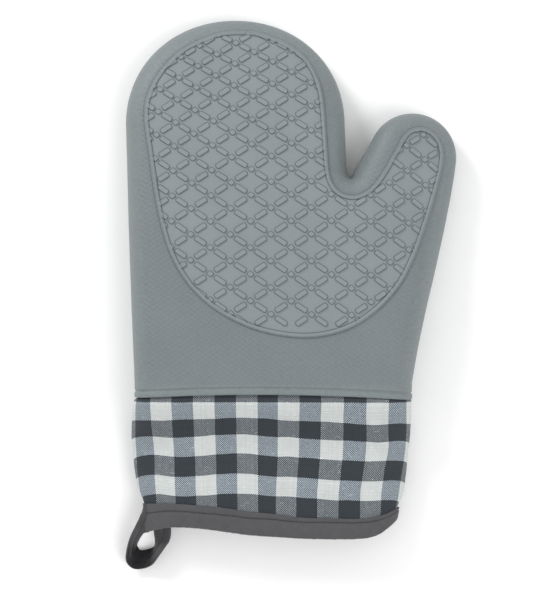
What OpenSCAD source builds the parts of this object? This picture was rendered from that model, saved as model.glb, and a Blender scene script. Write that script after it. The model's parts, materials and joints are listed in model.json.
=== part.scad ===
// Oven mitt: a moulded silicone shell over a quilted cotton liner, with a woven cuff,
// a bias binding round the cuff's mouth and a hanging loop of the same tape.
// It lies on its back with the grip side up. +Y points to the fingertips and +X to the
// thumb, and the origin is on the table under the middle of the shell's hem.

/* [Mitt outline] */
// Length from the hem to the fingertips
mitt_l = 228.3; // [190:0.1:275]
// Width across the fingers
finger_w = 132.5; // [110:0.5:160]
// Middle of the fingers, measured sideways from the middle of the hem
finger_x = -21.8; // [-40:0.1:0]
// Length of the rounded end of the fingers
finger_end = 63; // [50:1:76]
// Lean of the side of the fingers that faces the thumb, in degrees
finger_lean = 5.5; // [3:0.5:10]
// Width of the shell across its hem
hem_w = 167; // [139:1:201]
// Width of the thumb
thumb_w = 53.2; // [44:0.1:64]
// Centre of the thumb's round tip above the hem
thumb_y = 145.2; // [120:0.1:174]
// Gap between the fingers and the thumb at the thumb's widest
web_w = 14.4; // [10:0.1:20]
// Lean of the inner side of the thumb, in degrees
thumb_lean = 23.4; // [18:0.1:28]
// Radius of the rounded side rim, seen from above
rim_r = 13; // [11:0.5:16]

/* [Mitt thickness] */
// Thickness at the hem
hem_h = 38; // [32:0.5:46]
// Thickness where the fingers begin
knuckle_h = 37; // [31:0.5:45]
// Distance from the hem to where the fingers begin
knuckle_y = 110; // [92:1:132]
// Thickness at the fingertips
fingertip_h = 22; // [18:0.5:27]
// How much lower the shell is on the thumb's side of the palm
thumb_drop = 1.5; // [1:0.1:3]
// Thickness at the thumb's tip
thumbtip_h = 25; // [21:0.5:30]
// Silicone wall
wall_t = 2; // [1.6:0.1:2.6]
// Wadding of the liner
wadding_t = 3; // [2.4:0.1:4]
// Cotton lining cloth
lining_t = 0.8; // [0.6:0.1:1.2]
// Height of the seam between the palm side and the back side of the liner
seam_z = 12; // [9:0.5:14]

/* [Cuff] */
// How much narrower the cuff is than the hem, on each side
cuff_step = 1.5; // [0.5:0.5:4]
// How much lower the top of the cuff is than the shell's at the hem
cuff_drop = 2; // [1.5:0.5:6]
// Height of the flattened cuff at its mouth
mouth_h = 22; // [18:0.5:27]
// How much narrower the cuff is at its mouth than at the hem, on each side
mouth_step = 4.5; // [2:0.5:7]
// Length of the cuff in the middle of its curved mouth
cuff_l = 85.5; // [70:0.5:103]
// Radius of the curve of the mouth, seen from above
mouth_r = 274; // [230:1:330]
// Lowest point of the mouth's curve, measured sideways from the middle
mouth_x = 8; // [0:1:14]
// Woven cloth of the cuff
cloth_t = 0.8; // [0.6:0.1:1.2]
// Cotton lining of the cuff, with its thin padding
cuff_lining_t = 2.2; // [1.6:0.1:3]
// Width of the folded binding on each face
binding_w = 13.5; // [10:0.5:17]
// Thickness of the binding on each face
binding_t = 1.2; // [0.9:0.1:1.6]

/* [Hanging loop] */
// Outside width of the loop
loop_w = 23; // [19:0.5:28]
// Length of the loop outside the binding
loop_l = 31; // [26:0.5:37]
// Width of the loop's tape, which stands on edge
tape_w = 12; // [10:0.5:14]
// Thickness of the loop's folded tape
tape_t = 1.8; // [1.2:0.1:2.4]
// Turn of the loop away from straight down, in degrees
loop_turn = 32; // [20:1:40]
// Middle of the loop's root, measured from the side of the cuff's mouth
loop_from_side = 7.5; // [6:0.5:12]

/* [Stitches] */
// Length of a stitch
stitch_l = 2.6; // [2:0.1:3.4]
// Width and height of a stitch
thread_t = 0.5; // [0.4:0.1:0.8]
// Stitches along the binding
binding_stitches = 38; // [30:1:46]
// Stitches along the hem
hem_stitches = 36; // [28:1:44]

/* [Motion] */
// How far the thumb folds up towards the palm, in degrees
thumb_fold = 45; // [30:1:55]
// Height of the line that the thumb folds about
thumb_axis_z = 24; // [18:0.5:28]
// Lean of the thumb's fold line, in degrees
fold_lean = 17.5; // [14:0.5:22]
// How far the cuff bends up, in degrees
cuff_up = 30; // [15:1:35]
// How far the cuff bends down, in degrees
cuff_down = 20; // [10:1:25]
// How far the loop swings up and down, in degrees
loop_swing = 60; // [40:1:65]

/* [Clearances] */
// Gap between pieces on either side of a flexing line
flex_gap = 0.4; // [0.3:0.1:1]
// Gap between the upper hem stitches and the lining above them
seam_slack = 0.1; // [0.05:0.05:0.4]
// Extra opening of each flexing notch, in degrees
notch_spare = 1; // [0.5:0.5:3]

/* [Hidden] */

pad_fn = 24;             // facets round each rim pad
slice_t = 0.5;           // thickness of the slices that the cuff's form is hulled from
palm_foot = 0.5;         // how far a rim pad's foot reaches below the flat underside
thumb_foot = 0.8;        // the same for the thumb's pads
side_taper = 1.5;        // how much the mitt has narrowed at the knuckles on its plain side
past_hem = 20;           // how far the forms run on below the hem before they are cut there
far = 400;               // larger than the mitt in every direction
half_hem = hem_w / 2;
finger_side = finger_x + finger_w / 2;
finger_y = mitt_l - finger_end;
thumb_r = thumb_w / 2;
thumb_x = finger_side + web_w + thumb_r;

// Sideways place of the fingers' side and of the thumb's inner side at a height y
function finger_edge(y) = finger_side + (finger_y - y) * tan(finger_lean);
function thumb_edge(y) = thumb_x - thumb_r / cos(thumb_lean) - (thumb_y - y) * tan(thumb_lean);
// Outer side of the mitt below the thumb, straight from the thumb's widest to the hem
function outer_edge(y) = half_hem + (thumb_x + thumb_r - half_hem) * y / thumb_y;

// The web between fingers and thumb, where their two sides meet
web_y = (finger_side + finger_y * tan(finger_lean) - thumb_x + thumb_r / cos(thumb_lean)
         + thumb_y * tan(thumb_lean)) / (tan(finger_lean) + tan(thumb_lean));
web = [finger_edge(web_y), web_y];
fold_start = web + [2.8, 0];
notch_side = (thumb_fold + 2 * notch_spare) / 2;
notch_reach = (hem_h - thumb_axis_z) * tan(notch_side) + flex_gap;

liner_out = wall_t;
lining_out = wall_t + wadding_t;
pocket_in = wall_t + wadding_t + lining_t;

half_cuff = half_hem - cuff_step;
cuff_z0 = binding_t;
cuff_h = hem_h - cuff_drop - cuff_z0;
cuff_mid_z = cuff_z0 + cuff_h / 2;
cuff_seam_z = cuff_z0 + mouth_h / 2;
mouth_c = [mouth_x, mouth_r - cuff_l];
cuff_inner = cloth_t + cuff_lining_t;

// Height, top and half width of the cuff at a distance y below the hem (y is negative)
function cuff_height(y) = cuff_h + (cuff_h - mouth_h) * y / cuff_l;
function cuff_top(y) = cuff_z0 + cuff_height(y);
function cuff_side(y) = half_cuff + mouth_step * y / cuff_l;
cuff_slope = atan((cuff_h - mouth_h) / cuff_l);

// Where the binding's upper edge crosses a line down the cuff at x
function binding_start(x) = mouth_c.y - sqrt(pow(mouth_r - binding_w, 2) - pow(x - mouth_c.x, 2));

loop_x = loop_from_side - half_cuff + mouth_step;
root_turn = asin((mouth_x - loop_x) / mouth_r);
root_r = mouth_r + flex_gap;
loop_z = tape_w / 2;

// ---- shared shapes ---------------------------------------------------------------

// One rounded pad of the rim, drawn in from the outer skin by inset, on a short foot
// that reaches below the flat underside
module rim_pad(x, y, h, inset, foot) {
  full = 1 / cos(180 / pad_fn);
  r = (rim_r - inset) * full;
  translate([x, y, h / 2])
    hull() {
      scale([1, 1, (h / 2 - inset) / (rim_r - inset)]) sphere(r = r, $fn = pad_fn);
      translate([0, 0, inset - h / 2 - foot]) cylinder(r = rim_r / 8, h = foot, $fn = 8);
    }
}

// Two pads, one at each side of the mitt
module side_pads(x0, x1, y, h, inset, foot) {
  for (x = [x0 + rim_r, x1 - rim_r]) rim_pad(x, y, h, inset, foot);
}

// Palm and fingers: the rounded end is pads along half an ellipse, thinner to the tip
module palm_lobe(inset) {
  tip_run = finger_end - rim_r;
  hull() {
    for (a = [0:18:180]) {
      y = finger_y + tip_run * sin(a);
      thinning = (y - knuckle_y) / (mitt_l - rim_r - knuckle_y);
      rim_pad(finger_x + (finger_w / 2 - rim_r) * cos(a), y,
              knuckle_h + (fingertip_h - knuckle_h) * thinning, inset, palm_foot);
    }
    side_pads(finger_x - finger_w / 2 + side_taper, finger_edge(knuckle_y), knuckle_y,
              knuckle_h, inset, palm_foot);
    side_pads(-half_hem, finger_edge(-past_hem), -past_hem, hem_h, inset, palm_foot);
  }
}

// The thumb and the palm beside it, a little lower than the rest of the palm
module thumb_lobe(inset) {
  hull() {
    for (a = [-20:30:160])
      rim_pad(thumb_x + (thumb_r - rim_r) * cos(a), thumb_y + (thumb_r - rim_r) * sin(a),
              thumbtip_h, inset, thumb_foot);
    side_pads(thumb_edge(knuckle_y), outer_edge(knuckle_y), knuckle_y,
              knuckle_h - thumb_drop, inset, thumb_foot);
    side_pads(thumb_edge(-past_hem), outer_edge(-past_hem), -past_hem,
              hem_h - thumb_drop, inset, thumb_foot);
  }
}

// The whole mitt as one closed form, drawn in by inset on every side, cut flat underneath
module mitt_form(inset) {
  intersection() {
    union() {
      palm_lobe(inset);
      thumb_lobe(inset);
    }
    translate([-far, -far, inset]) cube(2 * far);
  }
}

// A layer of the mitt between two insets, open at the hem
module mitt_layer(outer, inner) {
  intersection() {
    difference() {
      mitt_form(outer);
      mitt_form(inner);
    }
    translate([-far, 0, -far]) cube([2 * far, far, 2 * far]);
  }
}

// A long wedge along the thumb's fold line. Below the line its face is upright, above
// the line the face leans by the given angle, positive towards the thumb.
module fold_wedge(lean, gap) {
  reach = far * tan(lean);
  translate([fold_start.x, fold_start.y, thumb_axis_z])
    rotate([0, 0, fold_lean - 90])
      rotate([90, 0, 90])
        translate([0, 0, -far])
          linear_extrude(2 * far)
            polygon([[gap, -far], [gap, 0], [gap + reach, far], [far * 2, far], [far * 2, -far]]);
}

module right_of(x, y_top) {
  translate([x, -far, -far]) cube([far, far + y_top, 2 * far]);
}

module on_thumb() {
  intersection() {
    children();
    fold_wedge(notch_side, flex_gap / 2);
    right_of(fold_start.x + flex_gap / 2, far);
  }
}

module on_palm() {
  difference() {
    children();
    intersection() {
      fold_wedge(0, -flex_gap / 2);
      right_of(fold_start.x - flex_gap / 2, far);
    }
    intersection() {
      fold_wedge(-notch_side, -flex_gap / 2);
      right_of(fold_start.x - notch_reach, fold_start.y + notch_reach);
      translate([-far, -far, thumb_axis_z]) cube(2 * far);
    }
  }
}

module above_seam() {
  intersection() {
    children();
    translate([-far, -far, seam_z]) cube(2 * far);
  }
}

module below_seam() {
  intersection() {
    children();
    translate([-far, -far, seam_z - 2 * far]) cube(2 * far);
  }
}

// A thin slice of the cuff's flattened round section, drawn in by inset
module cuff_slice(y, inset) {
  r = cuff_height(y) / 2;
  run = cuff_side(y) - r;
  translate([0, y, cuff_z0 + r])
    for (side = [-1, 1])
      translate([side * run, 0, 0])
        rotate([90, 0, 0]) cylinder(r = r - inset, h = slice_t, center = true, $fn = 48);
}

module cuff_form(inset) {
  hull() {
    cuff_slice(slice_t, inset);
    cuff_slice(-cuff_l - 2 * binding_t, inset);
  }
}

module cuff_tube(outer, inner) {
  difference() {
    cuff_form(outer);
    cuff_form(inner);
  }
}

// What is left clear of the shell while the cuff bends: a blunt arrow seen from the side
module clear_of_hem() {
  up = tan(cuff_up + notch_spare);
  down = tan(cuff_down + notch_spare);
  rotate([90, 0, 90])
    translate([0, 0, -far])
      linear_extrude(2 * far)
        polygon([[-flex_gap, cuff_mid_z], [-flex_gap - far * up, cuff_mid_z + far],
                 [-3 * far, cuff_mid_z + far], [-3 * far, cuff_mid_z - far],
                 [-flex_gap - far * down, cuff_mid_z - far]]);
}

// Everything inside a circle about the centre of the mouth's curve
module inside_mouth(r) {
  translate([mouth_c.x, mouth_c.y, -far]) cylinder(r = r, h = 2 * far, $fn = 180);
}

module cuff_layer(outer, inner, edge) {
  intersection() {
    cuff_tube(outer, inner);
    clear_of_hem();
    inside_mouth(edge);
  }
}

module front_half() {
  intersection() {
    children();
    translate([-far, -far, cuff_seam_z]) cube(2 * far);
  }
}

module back_half() {
  intersection() {
    children();
    translate([-far, -far, cuff_seam_z - 2 * far]) cube(2 * far);
  }
}

module stitch(l = stitch_l) {
  translate([-l / 2, -thread_t / 2, 0]) cube([l, thread_t, thread_t]);
}

// ---- the mitt --------------------------------------------------------------------

module silicone_shell() { color("#8a9393") on_palm() mitt_layer(0, wall_t); }
module silicone_thumb() { color("#8a9393") on_thumb() mitt_layer(0, wall_t); }

module palm_side_wadding() {
  color("#efece4") above_seam() on_palm() mitt_layer(liner_out, lining_out);
}
module back_side_wadding() {
  color("#efece4") below_seam() on_palm() mitt_layer(liner_out, lining_out);
}
module palm_side_lining() {
  color("#d9d6cd") above_seam() on_palm() mitt_layer(lining_out, pocket_in);
}
module back_side_lining() {
  color("#d9d6cd") below_seam() on_palm() mitt_layer(lining_out, pocket_in);
}
module thumb_palm_wadding() {
  color("#efece4") above_seam() on_thumb() mitt_layer(liner_out, lining_out);
}
module thumb_back_wadding() {
  color("#efece4") below_seam() on_thumb() mitt_layer(liner_out, lining_out);
}
module thumb_palm_lining() {
  color("#d9d6cd") above_seam() on_thumb() mitt_layer(lining_out, pocket_in);
}
module thumb_back_lining() {
  color("#d9d6cd") below_seam() on_thumb() mitt_layer(lining_out, pocket_in);
}

// The seam that holds the liner to the shell just inside the hem, on both faces
module hem_stitching() {
  y = stitch_l;
  x0 = rim_r - half_hem;
  run = finger_edge(y) - rim_r - x0;
  top = hem_h + (knuckle_h - hem_h) * (y + past_hem) / (knuckle_y + past_hem);
  slope = atan((knuckle_h - hem_h) / (knuckle_y + past_hem));
  color("#6f7676")
    for (i = [0:hem_stitches - 1]) {
      x = x0 + run * (i + 0.5) / hem_stitches;
      translate([x, y, pocket_in]) stitch();
      translate([x, y, top - pocket_in]) rotate([slope, 0, 0])
        translate([0, 0, -thread_t - seam_slack]) stitch();
    }
}

// ---- the cuff --------------------------------------------------------------------

module cuff_front_cloth() {
  color("#c9cfd1") front_half() cuff_layer(0, cloth_t, mouth_r - binding_t);
}
module cuff_back_cloth() {
  color("#c9cfd1") back_half() cuff_layer(0, cloth_t, mouth_r - binding_t);
}
module cuff_front_lining() {
  color("#dcd9d0") front_half() cuff_layer(cloth_t, cuff_inner, mouth_r - binding_t);
}
module cuff_back_lining() {
  color("#dcd9d0") back_half() cuff_layer(cloth_t, cuff_inner, mouth_r - binding_t);
}

// Stitches down the inside of the cuff along both sides
module cuff_side_seams() {
  pitch = 1.5 * stitch_l;
  color("#f2f2f2")
    for (side = [-1, 1], y = [-8:-pitch:binding_start(side * half_cuff) + pitch])
      translate([side * (cuff_side(y) - cuff_inner - thread_t), y,
                 cuff_z0 + (cuff_height(y) - thread_t) / 2])
        rotate([0, 0, 90]) stitch();
}

// The tape folded over the raw edges of the cuff, one leg outside and one inside
module edge_binding() {
  color("#58585c")
    difference() {
      intersection() {
        cuff_tube(-binding_t, cuff_inner + binding_t);
        inside_mouth(mouth_r);
      }
      inside_mouth(mouth_r - binding_w);
      intersection() {
        cuff_tube(0, cuff_inner);
        inside_mouth(mouth_r - binding_t);
      }
    }
}

// One row of stitches near the binding's upper edge, on the grip side
module binding_stitching() {
  row_r = mouth_r - binding_w + 2.4;
  flat = half_cuff - mouth_step - mouth_h / 2 - stitch_l;
  color("#47474b")
    for (i = [0:binding_stitches - 1]) {
      x = -flat + 2 * flat * (i + 0.5) / binding_stitches;
      a = asin((x - mouth_c.x) / row_r);
      y = mouth_c.y - row_r * cos(a);
      translate([x, y, cuff_top(y) + binding_t + seam_slack])
        rotate([cuff_slope, 0, 0]) rotate([0, 0, a]) stitch();
    }
}

// Places what follows at the middle of the loop's root, -Y pointing away from the cuff
module at_loop_root() {
  translate([mouth_c.x, mouth_c.y, loop_z])
    rotate([0, 0, -root_turn])
      translate([0, -root_r, 0])
        children();
}

// Short close stitches inside the mouth, through the binding and the ends of the loop
module loop_bar_tack() {
  lift = cuff_z0 + cuff_inner + binding_t;
  first_r = mouth_r - binding_t - 1;
  color("#47474b")
    for (x = [0, 6], i = [0:4])
      translate([mouth_h / 2 + mouth_step - half_cuff + x + 3, mouth_c.y - first_r * cos(root_turn) + i * 1.4, lift])
        stitch(4);
}

// The loop's tape seen from above: a U whose two ends meet the binding
module loop_outline(r) {
  circle(r = r, $fn = 64);
  translate([-r, 0]) square([2 * r, far / 8]);
}

module hanging_loop() {
  bend = loop_w / 2;
  color("#4c4c50")
    at_loop_root()
      intersection() {
        rotate([0, 0, root_turn - loop_turn])
          translate([0, bend - loop_l, -tape_w / 2])
            linear_extrude(tape_w)
              difference() {
                loop_outline(bend);
                loop_outline(bend - tape_t);
              }
        loop_ends();
      }
}

// The ends of the tape come to a blunt point at the swing line, clear of the binding
module loop_ends() {
  side = tan(loop_swing + notch_spare);
  rotate([90, 0, 90])
    translate([0, 0, -far])
      linear_extrude(2 * far)
        polygon([[-flex_gap, 0], [-flex_gap - tape_w * side, tape_w], [-far, tape_w],
                 [-far, -tape_w], [-flex_gap - tape_w * side, -tape_w]]);
}

silicone_shell();
palm_side_wadding();
back_side_wadding();
palm_side_lining();
back_side_lining();
hem_stitching();
silicone_thumb();
thumb_palm_wadding();
thumb_back_wadding();
thumb_palm_lining();
thumb_back_lining();
cuff_front_cloth();
cuff_back_cloth();
cuff_front_lining();
cuff_back_lining();
cuff_side_seams();
edge_binding();
binding_stitching();
loop_bar_tack();
hanging_loop();
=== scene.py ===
"""Oven mitt: moulded silicone shell, quilted liner, checked cuff, bias binding and hanging loop."""
import json
import math

import bmesh
import bpy
import numpy as np
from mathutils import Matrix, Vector
from mathutils.geometry import delaunay_2d_cdt
from mathutils.kdtree import KDTree


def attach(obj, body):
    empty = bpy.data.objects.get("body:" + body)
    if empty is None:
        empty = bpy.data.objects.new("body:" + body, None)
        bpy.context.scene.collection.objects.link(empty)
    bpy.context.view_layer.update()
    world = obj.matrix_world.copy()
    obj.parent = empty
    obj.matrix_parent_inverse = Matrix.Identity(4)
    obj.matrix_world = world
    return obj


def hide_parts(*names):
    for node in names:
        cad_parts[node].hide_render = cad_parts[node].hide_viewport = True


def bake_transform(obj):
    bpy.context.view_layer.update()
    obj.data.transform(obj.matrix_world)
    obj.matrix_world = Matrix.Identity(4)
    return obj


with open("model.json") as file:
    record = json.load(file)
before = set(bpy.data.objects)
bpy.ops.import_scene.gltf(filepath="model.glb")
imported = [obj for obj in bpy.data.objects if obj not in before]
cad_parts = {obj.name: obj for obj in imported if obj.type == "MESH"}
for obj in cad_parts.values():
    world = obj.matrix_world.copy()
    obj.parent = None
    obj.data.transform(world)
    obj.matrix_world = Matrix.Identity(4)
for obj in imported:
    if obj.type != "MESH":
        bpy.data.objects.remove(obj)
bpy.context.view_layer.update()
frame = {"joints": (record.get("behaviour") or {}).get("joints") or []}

MM = 0.001                     # lengths below are in millimetres
JOINTS = {joint["name"]: joint for joint in frame["joints"]}

# ---- camera ---------------------------------------------------------------------------
VIEW_CENTRE = (-2.7, 58.7)     # what the camera looks straight down on
VIEW_TALL = 363.0              # height of the view at the mitt's mid-height
CAMERA_UP = 1200.0
MID_HEIGHT = 16.0


def make_camera():
    data = bpy.data.cameras.new("camera")
    data.sensor_width = 36
    data.lens = 36 * (CAMERA_UP - MID_HEIGHT) / VIEW_TALL
    data.clip_end = 20
    camera = bpy.data.objects.new("camera", data)
    camera.location = Vector((*VIEW_CENTRE, CAMERA_UP)) * MM
    bpy.context.scene.collection.objects.link(camera)
    bpy.context.scene.camera = camera


make_camera()


# ---- materials: a small language for node trees ---------------------------------------
class Value:
    """A socket in a material's tree. Arithmetic on it adds Math nodes."""

    def __init__(self, graph, socket):
        self.graph, self.socket = graph, socket

    def math(self, operation, *others, clamp=False, last=False):
        """The operation on this socket and the others; last puts this socket after them."""
        settings = {"operation": operation, "use_clamp": clamp}
        inputs = (*others, self) if last else (self, *others)
        return self.graph.node("ShaderNodeMath", settings, dict(enumerate(inputs)))

    def __add__(self, other): return self.math("ADD", other)
    def __radd__(self, other): return self.math("ADD", other)
    def __sub__(self, other): return self.math("SUBTRACT", other)
    def __rsub__(self, other): return self.math("SUBTRACT", other, last=True)
    def __mul__(self, other): return self.math("MULTIPLY", other)
    def __rmul__(self, other): return self.math("MULTIPLY", other)
    def __truediv__(self, other): return self.math("DIVIDE", other)
    def __gt__(self, other): return self.math("GREATER_THAN", other)
    def __lt__(self, other): return self.math("LESS_THAN", other)
    def __pow__(self, other): return self.math("POWER", other)
    def floor(self): return self.math("FLOOR")
    def fraction(self): return self.math("FRACT")
    def sine(self): return self.math("SINE")
    def size(self): return self.math("ABSOLUTE")
    def clamp(self): return self.math("ADD", 0.0, clamp=True)
    def parity(self): return (self * 0.5).fraction() > 0.25
    def between(self, low, high): return ((self - low) / (high - low)).clamp()


class Graph:
    """One material: its tree, its shader, and the node() method that makes every node."""

    def __init__(self, name, **shader):
        self.material = bpy.data.materials.new(name)
        self.material.use_nodes = True
        self.tree = self.material.node_tree
        self.shader = self.tree.nodes["Principled BSDF"]
        for socket, value in shader.items():
            self.shader.inputs[socket.replace("_", " ")].default_value = value

    def plug(self, node, key, value):
        socket = node.inputs[key]
        if isinstance(value, Value):
            self.tree.links.new(value.socket, socket)
        else:
            socket.default_value = value

    def node(self, kind, settings=None, inputs=None, out=0):
        node = self.tree.nodes.new(kind)
        for key, value in (settings or {}).items():
            setattr(node, key, value)
        for key, value in (inputs or {}).items():
            self.plug(node, key, value)
        return Value(self, node.outputs[out])

    def mix(self, share, a, b):
        """Colour a where share is 0 and colour b where it is 1."""
        return self.node("ShaderNodeMix", {"data_type": "RGBA"}, {0: share, 6: rgba(a), 7: rgba(b)}, out=2)

    def multiply(self, share, a, b):
        """Colour a, times colour b as far as share says."""
        settings = {"data_type": "RGBA", "blend_type": "MULTIPLY"}
        return self.node("ShaderNodeMix", settings, {0: share, 6: rgba(a), 7: rgba(b)}, out=2)

    def tint(self, colour, factor):
        """A colour times a number."""
        grey = self.node("ShaderNodeCombineColor", {}, {0: factor, 1: factor, 2: factor})
        return self.multiply(1.0, colour, grey)

    def flat_place(self):
        """The two coordinates along a piece's own surface, in millimetres."""
        uv = self.node("ShaderNodeUVMap", {"uv_map": "flat"})
        split = self.tree.nodes.new("ShaderNodeSeparateXYZ")
        self.plug(split, 0, uv)
        return Value(self, split.outputs[0]) * 1000.0, Value(self, split.outputs[1]) * 1000.0

    def attribute(self, name):
        return self.node("ShaderNodeAttribute", {"attribute_name": name}, out=2)

    def noise(self, x, y, scale, detail=2.0, seed=0.0):
        """Noise from 0 to 1 at a place; scale is in features per millimetre."""
        place = self.node("ShaderNodeCombineXYZ", {}, {0: x, 1: y, 2: seed})
        return self.node("ShaderNodeTexNoise", {}, {"Vector": place, "Scale": scale, "Detail": detail})

    def finish(self, colour, roughness=None, height=None, depth=1.0, strength=1.0):
        """Plugs in what varies. depth is how many millimetres a height of 1 stands for."""
        self.plug(self.shader, "Base Color", colour)
        if roughness is not None:
            self.plug(self.shader, "Roughness", roughness)
        if height is not None:
            inputs = {"Height": height, "Distance": depth * MM, "Strength": strength}
            self.plug(self.shader, "Normal", self.node("ShaderNodeBump", {}, inputs))
        return self.material


def rgba(colour):
    return colour if isinstance(colour, Value) else (*colour, 1.0)


def weave(u, v, pitch, warp_half=0.5):
    """Plain weave. Returns 1 where the warp is on top, the threads' rounded height, and
    the two threads' numbers. A warp_half below 0.5 makes the warp threads the thinner ones."""
    warp, weft = u / pitch, v / pitch
    across, along = warp.fraction() - 0.5, weft.fraction() - 0.5
    warp_no, weft_no = warp.floor(), weft.floor()
    warp_up = (warp_no + weft_no).parity() * (across.size() < warp_half)
    round_warp = 1.0 - across * across * 3.4
    round_weft = 1.0 - along * along * 3.4
    over_weft, over_warp = 1.0 - along * along * 1.8, 1.0 - across * across * 1.8
    height = warp_up * (round_warp * over_weft) + (1.0 - warp_up) * (round_weft * over_warp)
    return warp_up, height, warp_no, weft_no


def each_thread(g, up, warp_no, weft_no):
    """A tone from -0.5 to 0.5 that differs from thread to thread."""
    return g.noise(warp_no * up + weft_no * (1.0 - up), up * 31.0, 0.9, 1.0, 2.0) - 0.5


SILICONE_RIM = (0.165, 0.192, 0.195)
SILICONE_FIELD = (0.149, 0.174, 0.182)
SILICONE_PANEL = (0.199, 0.229, 0.240)
CHECK_DARK = (0.036, 0.043, 0.051)
CHECK_LIGHT = (0.585, 0.613, 0.606)
CHECK_BLUE = (0.90, 0.98, 1.09)
TAPE = (0.084, 0.083, 0.088)
LOOP_TAPE = (0.070, 0.069, 0.074)
LINING = (0.62, 0.60, 0.56)
CHECK_WIDE, CHECK_TALL = 12.8, 12.2    # one square of the check
CHECK_FROM = 98.0              # from the middle of the cuff to a dark column's edge
THREAD = 0.64                  # from one thread of the check to the next
DIAMOND_WIDE, DIAMOND_TALL = 4.4, 3.0  # the fine crosshatch outside the grip panel


def silicone_material():
    g = Graph("moulded_silicone", Specular_IOR_Level=0.4, Sheen_Weight=0.05, Sheen_Roughness=0.5)
    x, y = g.flat_place()
    panel, field, foot = g.attribute("panel"), g.attribute("field"), g.attribute("foot")
    mottle = g.noise(x, y, 0.035, 3.0) - 0.5
    bloom = g.noise(x, y, 0.35, 4.0, 7.0) - 0.5
    grain = g.noise(x, y, 0.6, 4.0, 3.0) * 0.6 + g.noise(x, y, 2.6, 2.0, 3.0) * 0.3
    leather = (1.0 - panel) * (1.0 - field * 0.5)
    left, right = x / DIAMOND_WIDE + y / DIAMOND_TALL, x / DIAMOND_WIDE - y / DIAMOND_TALL
    lines = (1.0 - (left * math.pi).sine().size()) ** 3.0 + (1.0 - (right * math.pi).sine().size()) ** 3.0
    plain = (1.0 - panel) * field
    base = g.mix(field, SILICONE_RIM, g.mix(panel, SILICONE_FIELD, SILICONE_PANEL))
    shade = 1.0 + mottle * 0.16 + bloom * 0.07 + lines * plain * 0.10
    # Painted shade: the mask darkens the colour round the base of each lug and dot and along the bead's sides,
    # and roughens it there.
    shade = shade + (grain - 0.45) * leather * 0.7 - foot * 0.45
    rough = 0.55 + bloom * 0.10 + mottle * 0.08 + foot * 0.2
    return g.finish(g.tint(base, shade), rough, lines * plain * 0.9 + grain * (0.15 + leather * 0.75), 0.17)


def gingham_material():
    g = Graph("gingham_cloth", Roughness=0.88, Specular_IOR_Level=0.2, Sheen_Weight=0.1)
    u, v = g.flat_place()
    wander = g.noise(u, v, 0.12, 2.0) - 0.5
    up, height, warp_no, weft_no = weave(u + wander * 0.5, v + wander * 0.6, THREAD, 0.41)
    warp_dark = ((warp_no * THREAD + CHECK_FROM) / CHECK_WIDE).floor().parity()
    weft_dark = ((weft_no * THREAD) / CHECK_TALL).floor().parity()
    dark = up * warp_dark + (1.0 - up) * weft_dark
    mixed = (warp_dark - weft_dark).size()
    slub = g.noise(u, v * 7.0, 0.25, 2.0, 5.0).between(0.66, 0.72)
    cloud = g.noise(u, v, 0.3, 3.0, 9.0) - 0.5
    thread_tone = each_thread(g, up, warp_no, weft_no)
    fleck = g.noise(u, v, 1.1, 2.0, 12.0) - 0.5
    shade = (0.72 + height * 0.3) * (1.0 + thread_tone * 0.5 + cloud * 0.15 + fleck * mixed * 0.9)
    light = g.tint(CHECK_LIGHT, 1.0 - mixed * 0.27 - mixed * weft_dark * 0.17)
    light = g.mix(slub, light, (0.80, 0.83, 0.84))
    colour = g.tint(g.mix(dark, light, CHECK_DARK), shade)
    colour = g.multiply(mixed * (1.0 - weft_dark * 0.5), colour, CHECK_BLUE)
    return g.finish(colour, None, height + slub * 0.4, 0.12, 0.8)


def plain_cloth_material(name, colour, pitch, tone, inner=None):
    g = Graph(name, Roughness=0.88, Specular_IOR_Level=0.2, Sheen_Weight=0.2)
    u, v = g.flat_place()
    wander = g.noise(u, v, 0.1, 2.0) - 0.5
    up, height, warp_no, weft_no = weave(u + wander * 0.4, v + wander * 0.4, pitch)
    thread_tone = each_thread(g, up, warp_no, weft_no)
    cloud = g.noise(u, v, 0.2, 3.0, 9.0) - 0.5
    shade = (0.78 + height * 0.26) * (1.0 + thread_tone * tone + cloud * tone)
    # The inner colour is painted shade: the mask darkens the binding's stitch groove and the inside of the
    # loop's lower turn.
    if inner:
        colour = g.mix(g.attribute("inner"), colour, inner)
    return g.finish(g.tint(colour, shade), None, height, 0.1, 0.7)


def wadding_material():
    g = Graph("cotton_wadding", Roughness=0.95, Specular_IOR_Level=0.1, Sheen_Weight=0.4)
    x, y = g.flat_place()
    fluff = g.noise(x, y, 1.2, 5.0)
    return g.finish(g.tint((0.72, 0.70, 0.65), 0.85 + fluff * 0.25), None, fluff, 0.5)


def thread_material(name, colour):
    g = Graph(name, Roughness=0.6, Specular_IOR_Level=0.35, Sheen_Weight=0.2)
    u, v = g.flat_place()
    twist = (u * 5.0 + v * 9.0).sine() * 0.5 + 0.5
    return g.finish(g.tint(colour, 0.75 + twist * 0.35), None, twist, 0.08)


def floor_material():
    g = Graph("pale_floor", Roughness=0.9, Specular_IOR_Level=0.1)
    place = g.node("ShaderNodeTexCoord", {}, {}, out=3)
    fine = g.node("ShaderNodeTexNoise", {}, {"Vector": place, "Scale": 40.0, "Detail": 3.0})
    return g.finish(g.tint((0.93, 0.93, 0.93), 0.985 + fine * 0.03))


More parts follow.
